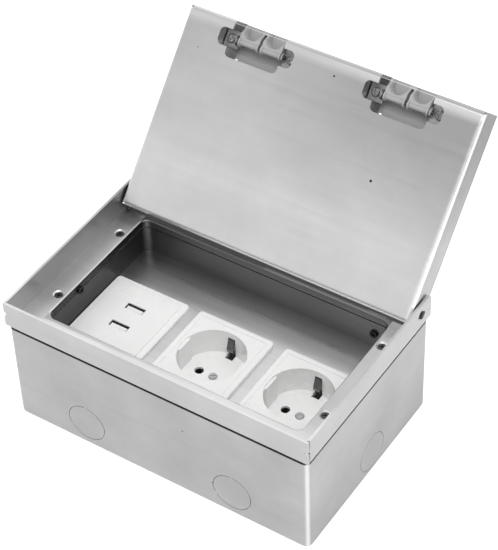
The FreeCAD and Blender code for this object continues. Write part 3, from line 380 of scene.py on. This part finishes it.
def recess_painted_shade(tree, colour, wall, floor):
    """Painted shade inside the opening: down to one level on its walls, to another on its floor."""
    shade = use_group(tree, RECESS_SHADE,
                      Half_length=OPENING_HIGH.x - SHEET + 0.2 * MM,    # with the inner faces
                      Front=OPENING_LOW.y - 1.0 * MM,
                      Back=OPENING_HIGH.y + 0.4 * MM,
                      Rim=OPENING_HIGH.z + 5.7 * MM,                    # and the frame's flange
                      Lit_until=32 * MM)
    rightward, _, level = parts(tree, add(tree, "ShaderNodeTexCoord").outputs["Normal"])
    flat = maths(tree, "GREATER_THAN", level, FACING)
    on_floor = spread(tree, shade["Depth"], 0.0, 1.0, 1.0, floor)
    on_wall = spread(tree, rightward, 0.3, 0.9, wall, wall * LEFT_WALL_SHARE)
    tone = where(tree, flat, on_floor, on_wall)
    return blend_colour(tree, shade["Inside"], colour, toned(tree, colour, tone))


def brushed_steel(name, level, roughness=0.34, tilt=0.0, contrast=0.10, specks=0.06,
                  patch=0.90, bend_highlight=0.8, painted_light=None, glow=None):
    """Brushed sheet of one grey level, with streaks of the given contrast.

    Patch is the tone of the handling patches, and specks the share of cells that hold a speck. A
    highlight of the given whiteness is painted on the bends, a given function paints light and shade
    into the colour by place, and glow adds a faint light.
    """
    material, tree, shader = new_material(name, Metallic=1.0)
    brush = use_group(tree, BRUSH_MARKS, Tilt=tilt)
    marks = use_group(tree, HANDLING_MARKS, Speck_share=specks)
    streaks = maths(tree, "ADD", times(tree, brush["Fine"], FINE_PART),
                    times(tree, brush["Broad"], BROAD_PART))
    streaks = spread(tree, streaks, 0.3, 0.7)
    colour = blend_colour(tree, streaks, grey(level * (1 - contrast), STEEL_WARMTH),
                          grey(level * (1 + contrast * 0.6), STEEL_WARMTH))
    colour = blend_colour(tree, marks["Patches"], colour, grey(patch), "MULTIPLY")
    colour = blend_colour(tree, marks["Specks"], colour, grey(SPECK_GREY))
    # Painted highlight on the bends.
    colour = blend_colour(tree, times(tree, brush["Bend"], bend_highlight), colour, grey(1.0))
    # Light and shade painted into the colour by place.
    if painted_light:
        colour = painted_light(tree, colour)
    tree.links.new(colour, shader.inputs["Base Color"])
    if glow:
        tree.links.new(glow(tree), shader.inputs["Emission Color"])
        shader.inputs["Emission Strength"].default_value = 1.0
    rough = maths(tree, "MULTIPLY_ADD", streaks, STREAK_ROUGHNESS,
                  roughness - STREAK_ROUGHNESS / 2)
    rough = maths(tree, "MULTIPLY_ADD", marks["Patches"], PATCH_ROUGHNESS, rough)
    tree.links.new(rough, shader.inputs["Roughness"])
    lines = add(tree, "ShaderNodeBump", {"Strength": 0.2, "Distance": STREAK_HEIGHT,
                                         "Height": brush["Fine"]})
    waves = add(tree, "ShaderNodeBump", {"Strength": 0.4, "Distance": WAVE_HEIGHT,
                                         "Height": marks["Waves"], "Normal": lines.outputs[0]})
    tree.links.new(waves.outputs[0], shader.inputs["Normal"])
    return material


def plated(name, colour, roughness=0.3):
    """A small plated or drawn metal part, without brush lines."""
    material, tree, shader = new_material(name, Metallic=1.0)
    marks = use_group(tree, HANDLING_MARKS, Patch_size=260.0, Speck_share=0.0)
    skin = use_group(tree, MOULDED_SKIN, Grain=2600.0)
    tree.links.new(blend_colour(tree, marks["Patches"], colour, dimmed(colour, TARNISH)),
                   shader.inputs["Base Color"])
    rough = maths(tree, "MULTIPLY_ADD", marks["Patches"], 0.15, roughness)
    tree.links.new(rough, shader.inputs["Roughness"])
    bump = add(tree, "ShaderNodeBump", {"Strength": 0.2, "Distance": STREAK_HEIGHT,
                                        "Height": skin["Grain"]})
    tree.links.new(bump.outputs[0], shader.inputs["Normal"])
    return material


def moulded(name, colour, roughness=0.35, grain=0.15, coat=0.0):
    """Moulded plastic. Grain is how strongly the mould's texture shows."""
    material, tree, shader = new_material(name, Coat_Weight=coat)
    skin = use_group(tree, MOULDED_SKIN)
    tone = spread(tree, skin["Flow"], 0.35, 0.65)
    tree.links.new(blend_colour(tree, tone, colour, dimmed(colour, FLOW_TONE)),
                   shader.inputs["Base Color"])
    tree.links.new(maths(tree, "MULTIPLY_ADD", skin["Flow"], 0.12, roughness - 0.06),
                   shader.inputs["Roughness"])
    bump = add(tree, "ShaderNodeBump", {"Strength": grain, "Distance": GRAIN_HEIGHT,
                                        "Height": skin["Grain"]})
    tree.links.new(bump.outputs[0], shader.inputs["Normal"])
    return material


def frame_painted_light(tree, colour):
    """Painted light on the front shelves, painted shade at their back left and on the left wall."""
    colour = recess_painted_shade(tree, colour, **FRAME_SHADE)
    place = add(tree, "ShaderNodeTexCoord").outputs
    x, y, _ = parts(tree, place["Object"])
    rightward, _, level = parts(tree, place["Normal"])
    left = maths(tree, "LESS_THAN", x, 0.0)
    shelf = maths(tree, "GREATER_THAN", level, FACING)
    inner_wall = times(tree, left, maths(tree, "GREATER_THAN", rightward, FACING))
    # Painted light on the front of the shelves, painted shade at their back left.
    front = spread(tree, y, FRAME_FRONT + 12 * MM, FRAME_FRONT + 30 * MM, FRONT_SHELF_LIGHT, 1.0)
    gloom = times(tree, left, spread(tree, y, 18 * MM, 50 * MM, 0.0, BACK_LEFT_GLOOM))
    on_shelf = maths(tree, "SUBTRACT", front, gloom)
    return toned(tree, colour, times(tree, where(tree, shelf, on_shelf),
                                     where(tree, inner_wall, LEFT_RIM_SHADE)))


def box_painted_shade(tree, colour):
    """Painted shadow in the seam under the frame, and painted shade on the foot of the right wall."""
    place = add(tree, "ShaderNodeTexCoord").outputs
    z = parts(tree, place["Object"])["Z"]
    rightward = parts(tree, place["Normal"])["X"]
    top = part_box("base_box")[1].z
    # Painted shade on the foot of the right wall, and a painted shadow in the seam under the frame.
    foot = spread(tree, z, 0.0, 45 * MM, BOX_FOOT_SHADE, 1.0)
    right_wall = spread(tree, rightward, 0.7, 0.9, 1.0, foot)
    seam = spread(tree, z, top - 0.8 * MM, top - 0.5 * MM, 1.0, BOX_SEAM_SHADOW)
    return toned(tree, colour, times(tree, right_wall, seam))


def inner_glow(tree):
    """The little light that has found its way into the closed box."""
    low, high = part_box("base_box")
    shade = use_group(tree, RECESS_SHADE, Half_length=high.x - 2 * SHEET, Front=low.y + SHEET,
                      Back=high.y - 0.6 * SHEET, Rim=high.z + 20 * MM)
    return neutral(tree, times(tree, shade["Inside"], INNER_GLOW))


def tray_painted_shade(tree, colour):
    """The painted shade of the opening, on the tray itself."""
    return recess_painted_shade(tree, colour, **TRAY_SHADE)


FINISHES = {
    "stainless_box": brushed_steel("Steel box", 0.60, contrast=0.06, patch=0.86,
                                   painted_light=box_painted_shade, glow=inner_glow),
    "stainless_frame": brushed_steel("Steel frame", 0.68, contrast=0.06, painted_light=frame_painted_light),
    "stainless_tray": brushed_steel("Steel tray", 0.86, roughness=0.30, bend_highlight=0.0, painted_light=tray_painted_shade),
    "stainless_lid": brushed_steel("Steel lid", 0.88, tilt=LID_TILT, contrast=0.03, specks=0.60,
                                   patch=0.86, painted_light=lid_painted_light),
    "zinc": plated("Zinc plate", (0.44, 0.44, 0.445, 1.0), roughness=0.35),
    "white_plastic": moulded("White plastic", (0.87, 0.87, 0.865, 1.0), roughness=0.28),
    "white_tongue": moulded("White tongue", grey(0.85)),
    "grey_plastic": moulded("Grey plastic", (0.40, 0.40, 0.405, 1.0), roughness=0.42, grain=0.3),
    "base_plastic": moulded("Base plastic", (0.62, 0.61, 0.57, 1.0), roughness=0.5),
    "housing_plastic": moulded("Housing plastic", (0.05, 0.05, 0.055, 1.0), roughness=0.5),
    "brass": plated("Tinned brass", (0.30, 0.29, 0.27, 1.0)),
    "steel_clip": plated("Spring steel", grey(0.20), roughness=0.16),
    "board": moulded("Board lacquer", (0.03, 0.14, 0.07, 1.0), roughness=0.3, coat=0.4),
}
BLACKENED = plated("Blackened steel", (0.045, 0.045, 0.048, 1.0), roughness=0.42)
BRIGHT_SCREW = plated("Bright screw", (0.62, 0.62, 0.63, 1.0), roughness=0.22)
DULL_SCREW = plated("Dull screw", (0.13, 0.13, 0.135, 1.0), roughness=0.22)
PLAIN_SCREW = plated("Plain screw", (0.36, 0.36, 0.365, 1.0), roughness=0.22)
for row in frame["record"]["subparts"]:
    mesh = nodes[row["node"]].data
    mesh.materials.clear()
    mesh.materials.append(FINISHES[row["material_slot"]])
for name in ("lid_pivots", "tray_clamp_screws"):
    nodes[name].data.materials[0] = BLACKENED
print(len(FINISHES), "finishes on", len(nodes), "nodes")

# %% [markdown]
# ## Screws
# The frame, the sockets and the cable outlets are held by cross-headed screws. One Geometry Nodes
# tree makes them all. It grows a screw from a disc by extruding and scaling, cuts the cross out of
# the head, and sets a copy on each point, turned to the point's facing and by a chance angle
# about its own axis, as screws end up when someone tightens them.

# %% Geometry Nodes tree for a set of screws
DISC_CORNERS = 40
WELD = 0.001 * MM                     # closer points than this become one
QUARTER_TURN = math.pi / 2            # a cross looks the same after each of these


def extruded(tree, mesh, length, scale):
    """Push the selected face out along its normal, then scale it."""
    step = add(tree, "GeometryNodeExtrudeMesh", {"Mesh": mesh[0], "Selection": mesh[1],
                                                 "Offset Scale": length, "Individual": False},
               mode="FACES")
    sized = add(tree, "GeometryNodeScaleElements", {"Geometry": step.outputs["Mesh"],
                                                    "Selection": step.outputs["Top"],
                                                    "Scale": scale})
    return sized.outputs[0], step.outputs["Top"]


def screw_set():
    """One cross-headed screw, and a copy of it with its head's top on each point."""
    tree, given, result = group(
        "Screw set",
        [("Points", "NodeSocketGeometry", None), ("Shank radius", FLOAT, 0.0015),
         ("Shank length", FLOAT, 0.006), ("Neck radius", FLOAT, 0.0015),
         ("Head radius", FLOAT, 0.003), ("Head height", FLOAT, 0.002), ("Edge", FLOAT, 0.0002),
         ("Cross reach", FLOAT, 0.0018), ("Cross width", FLOAT, 0.0007),
         ("Cross depth", FLOAT, 0.001), ("Seed", "NodeSocketInt", 3),
         ("Material", "NodeSocketMaterial", None)],
        [("Geometry", "NodeSocketGeometry")], "GeometryNodeTree")
    disc = add(tree, "GeometryNodeMeshCircle", {"Vertices": DISC_CORNERS,
                                               "Radius": given["Shank radius"]},
               fill_type="NGON").outputs["Mesh"]
    everything = add(tree, "FunctionNodeInputBool", boolean=True).outputs[0]
    neck = maths(tree, "DIVIDE", given["Neck radius"], given["Shank radius"])
    flare = maths(tree, "DIVIDE", given["Head radius"], given["Neck radius"])
    rim = maths(tree, "DIVIDE", maths(tree, "SUBTRACT", given["Head radius"], given["Edge"]),
                given["Head radius"])
    straight = maths(tree, "SUBTRACT", given["Head height"], given["Edge"])
    body = (disc, everything)
    for length, scale in ((given["Shank length"], neck), (straight, flare), (given["Edge"], rim)):
        body = extruded(tree, body, length, scale)
    closed = add(tree, "GeometryNodeJoinGeometry")
    for part in (body[0], add(tree, "GeometryNodeFlipFaces", {"Mesh": disc}).outputs[0]):
        tree.links.new(part, closed.inputs[0])
    closed = add(tree, "GeometryNodeMergeByDistance",
                 {"Geometry": closed.outputs[0], "Distance": WELD}).outputs[0]
    top = maths(tree, "ADD", given["Shank length"], given["Head height"])
    carved = add(tree, "GeometryNodeMeshBoolean", {"Mesh 1": closed}, operation="DIFFERENCE",
                 solver="EXACT")
    lift = add(tree, "ShaderNodeCombineXYZ", {"Z": top}).outputs[0]
    length = times(tree, given["Cross reach"], 2.0)
    width = given["Cross width"]
    height = times(tree, given["Cross depth"], 2.0)
    for sides in ((length, width, height), (width, length, height)):
        size = add(tree, "ShaderNodeCombineXYZ", dict(enumerate(sides))).outputs[0]
        bar = add(tree, "GeometryNodeMeshCube", {"Size": size}).outputs["Mesh"]
        lifted = add(tree, "GeometryNodeTransform", {"Geometry": bar, "Translation": lift})
        tree.links.new(lifted.outputs[0], carved.inputs["Mesh 2"])
    drop = add(tree, "ShaderNodeCombineXYZ", {"Z": times(tree, top, -1.0)}).outputs[0]
    screw = add(tree, "GeometryNodeTransform", {"Geometry": carved.outputs["Mesh"],
                                                "Translation": drop}).outputs[0]
    facing = add(tree, "GeometryNodeInputNamedAttribute", {"Name": "facing"},
                 data_type="FLOAT_VECTOR").outputs["Attribute"]
    aligned = add(tree, "FunctionNodeAlignRotationToVector", {"Vector": facing},
                  axis="Z").outputs[0]
    chance = add(tree, "FunctionNodeRandomValue", {"Seed": given["Seed"]}, data_type="FLOAT")
    turn = [socket for socket in chance.outputs if socket.type == "VALUE"][0]
    spin = add(tree, "FunctionNodeAxisAngleToRotation",
               {"Axis": (0.0, 0.0, 1.0), "Angle": times(tree, turn, QUARTER_TURN)})
    rotation = add(tree, "FunctionNodeRotateRotation", {"Rotation": aligned,
                                                        "Rotate By": spin.outputs[0]},
                   rotation_space="LOCAL").outputs[0]
    copies = add(tree, "GeometryNodeInstanceOnPoints", {"Points": given["Points"],
                                                        "Instance": screw,
                                                        "Rotation": rotation}).outputs[0]
    real = add(tree, "GeometryNodeRealizeInstances", {"Geometry": copies}).outputs[0]
    dressed = add(tree, "GeometryNodeSetMaterial", {"Geometry": real,
                                                    "Material": given["Material"]}).outputs[0]
    tree.links.new(dressed, result["Geometry"])
    return tree


SCREW_SET = screw_set()


# %% Set the screws where the CAD model has them
SAME_POINT, SAME_FACE = 0.01 * MM, 0.02 * MM


def loose_parts(node):
    """The separate solids of a node, as lists of points."""
    mesh = nodes[node].data
    key = {v.index: tuple(round(c / SAME_POINT) for c in v.co) for v in mesh.vertices}
    parent = {k: k for k in key.values()}

    def root(k):
        while parent[k] != k:
            parent[k] = parent[parent[k]]
            k = parent[k]
        return k

    for edge in mesh.edges:
        a, b = (root(key[i]) for i in edge.vertices)
        parent[a] = b
    found = {}
    for v in mesh.vertices:
        found.setdefault(root(key[v.index]), []).append(v.co.copy())
    return list(found.values())


def head_centre(points, facing):
    """Middle of the end face that looks along the facing."""
    reach = max(p.dot(facing) for p in points)
    face = [p for p in points if reach - p.dot(facing) < SAME_FACE]
    return sum(face, Vector()) / len(face)


def screws(name, body, stand_for, facing, slot, material, **sizes):
    """A piece of screws in place of the plain ones of some nodes. Its sizes are millimetres."""
    places = [head_centre(part, facing) for node in stand_for for part in loose_parts(node)]
    mesh = bpy.data.meshes.new(name + " points")
    mesh.from_pydata([tuple(p) for p in places], [], [])
    data = mesh.attributes.new("facing", "FLOAT_VECTOR", "POINT").data
    for row in data:
        row.vector = facing
    maker = bpy.data.objects.new(name + " maker", mesh)
    bpy.context.scene.collection.objects.link(maker)
    grower = maker.modifiers.new("Screws", "NODES")
    grower.node_group = SCREW_SET
    sockets = {item.name: item.identifier for item in SCREW_SET.interface.items_tree
               if item.in_out == "INPUT"}
    for label, value in sizes.items():
        grower[sockets[label.replace("_", " ")]] = value * MM
    grower[sockets["Seed"]] = len(name)
    grower[sockets["Material"]] = material
    bpy.context.view_layer.update()
    grown = bpy.data.meshes.new_from_object(
        maker.evaluated_get(bpy.context.evaluated_depsgraph_get()))
    grown.name = name
    piece = bpy.data.objects.new(name, grown)
    bpy.context.scene.collection.objects.link(piece)
    bpy.data.objects.remove(maker)
    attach(piece, body)
    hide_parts(*stand_for)
    print(name, len(places), "screws,", len(grown.vertices), "points")
    return piece


UPWARD = Vector((0, 0, 1))
LID_FACING = Matrix.Rotation(-LID_TILT, 3, "X") @ Vector((0, 0, -1))
screws("Frame_screw_set", "box", ["frame_screws"], UPWARD, "zinc", DULL_SCREW,
       Shank_radius=2.0, Shank_length=7.9, Neck_radius=2.0, Head_radius=2.6, Head_height=0.6,
       Edge=0.1, Cross_reach=1.6, Cross_width=0.7, Cross_depth=1.1)
screws("Socket_screw_set", "box", ["socket_1_centre_screw", "socket_2_centre_screw"], UPWARD,
       "zinc", BRIGHT_SCREW, Shank_radius=1.75, Shank_length=10.9, Neck_radius=2.6,
       Head_radius=2.6, Head_height=1.6, Edge=0.4, Cross_reach=1.6, Cross_width=0.6,
       Cross_depth=0.8)
screws("Outlet_screw_set", "lid", ["outlet_screws"], LID_FACING, "zinc", PLAIN_SCREW,
       Shank_radius=1.5, Shank_length=5.0, Neck_radius=2.8, Head_radius=2.8, Head_height=1.8,
       Edge=0.5, Cross_reach=1.8, Cross_width=0.7, Cross_depth=1.0)

# %% [markdown]
# ## Studio floor, light and camera
# The background is a white table under a pale sky, which is a little brighter near the horizon
# and behind the box. One soft lamp stands above in front, and a weaker one low at the right, so
# that the steel has something to reflect.

# %% Floor
FLOOR_GREY = 0.84
FLOOR_LIFT = 0.5                      # added where the floor itself is looked at


def studio_floor():
    half = 3.0
    corners = [(-half, -half, 0), (half, -half, 0), (half, half, 0), (-half, half, 0)]
    mesh = bpy.data.meshes.new("Studio floor")
    mesh.from_pydata(corners, [], [(0, 1, 2, 3)])
    floor = bpy.data.objects.new("Studio_floor", mesh)
    bpy.context.scene.collection.objects.link(floor)
    material, tree, shader = new_material("Floor white", Roughness=0.8)
    shader.inputs["Base Color"].default_value = grey(FLOOR_GREY)
    shader.inputs["Emission Color"].default_value = grey(1.0)
    seen = add(tree, "ShaderNodeLightPath").outputs["Is Camera Ray"]
    tree.links.new(times(tree, seen, FLOOR_LIFT), shader.inputs["Emission Strength"])
    mesh.materials.append(material)


studio_floor()

# %% World and lamps
HORIZON, ZENITH, BEHIND = 0.85, 0.62, 0.30      # strength of the sky, and what its back adds
LAMP_AIM = Vector((0, 0, 0.08))


def pale_sky():
    world = bpy.data.worlds.new("Pale sky")
    bpy.context.scene.world = world
    world.use_nodes = True
    tree = world.node_tree
    sky = tree.nodes["Background"]
    sky.inputs["Color"].default_value = grey(1.0)
    direction = add(tree, "ShaderNodeTexCoord").outputs["Generated"]
    _, backward, upward = parts(tree, direction)
    lit = maths(tree, "ADD", spread(tree, upward, 0.1, 0.9, HORIZON, ZENITH),
                spread(tree, backward, 0.1, 0.7, 0.0, BEHIND))
    seen = add(tree, "ShaderNodeLightPath").outputs["Is Camera Ray"]
    tree.links.new(maths(tree, "MAXIMUM", lit, seen), sky.inputs["Strength"])


def soft_lamp(name, place, size, power):
    """A square area lamp that looks at the box."""
    lamp = bpy.data.lights.new(name, "AREA")
    lamp.shape = "SQUARE"
    lamp.size = size
    lamp.energy = power
    holder = bpy.data.objects.new(name, lamp)
    bpy.context.scene.collection.objects.link(holder)
    holder.location = place
    holder.rotation_euler = (LAMP_AIM - Vector(place)).to_track_quat("-Z", "Y").to_euler()


pale_sky()
soft_lamp("Key", (0.30, -0.40, 1.5), size=0.7, power=10.0)
soft_lamp("Fill", (1.5, -0.62, 0.42), size=0.6, power=5.0)

# %% Camera
TURN, HEIGHT, ROLL = math.radians(34.69), math.radians(43.71), math.radians(-2.43)
DISTANCE = 1.1966
AIM_RIGHT, AIM_UP = 0.01539, 0.07665      # what stands in the middle, from the middle of the base
LENS, SENSOR = 133.9, 36.0                # millimetres


def stand_camera():
    """A camera that looks down at the box from its front right."""
    back = Vector((math.sin(TURN) * math.cos(HEIGHT), -math.cos(TURN) * math.cos(HEIGHT),
                   math.sin(HEIGHT)))
    level = (-back).cross(Vector((0, 0, 1))).normalized()
    upright = level.cross(-back)
    right = math.cos(ROLL) * level + math.sin(ROLL) * upright
    up = math.cos(ROLL) * upright - math.sin(ROLL) * level
    data = bpy.data.cameras.new("Camera")
    data.sensor_width = SENSOR
    data.lens = LENS
    camera = bpy.data.objects.new("Camera", data)
    bpy.context.scene.collection.objects.link(camera)
    turn = Matrix((right, up, back)).transposed().to_4x4()
    place = right * AIM_RIGHT + up * AIM_UP + back * DISTANCE
    camera.matrix_world = Matrix.Translation(place) @ turn
    bpy.context.scene.camera = camera


stand_camera()
bpy.context.scene.view_settings.view_transform = "Standard"
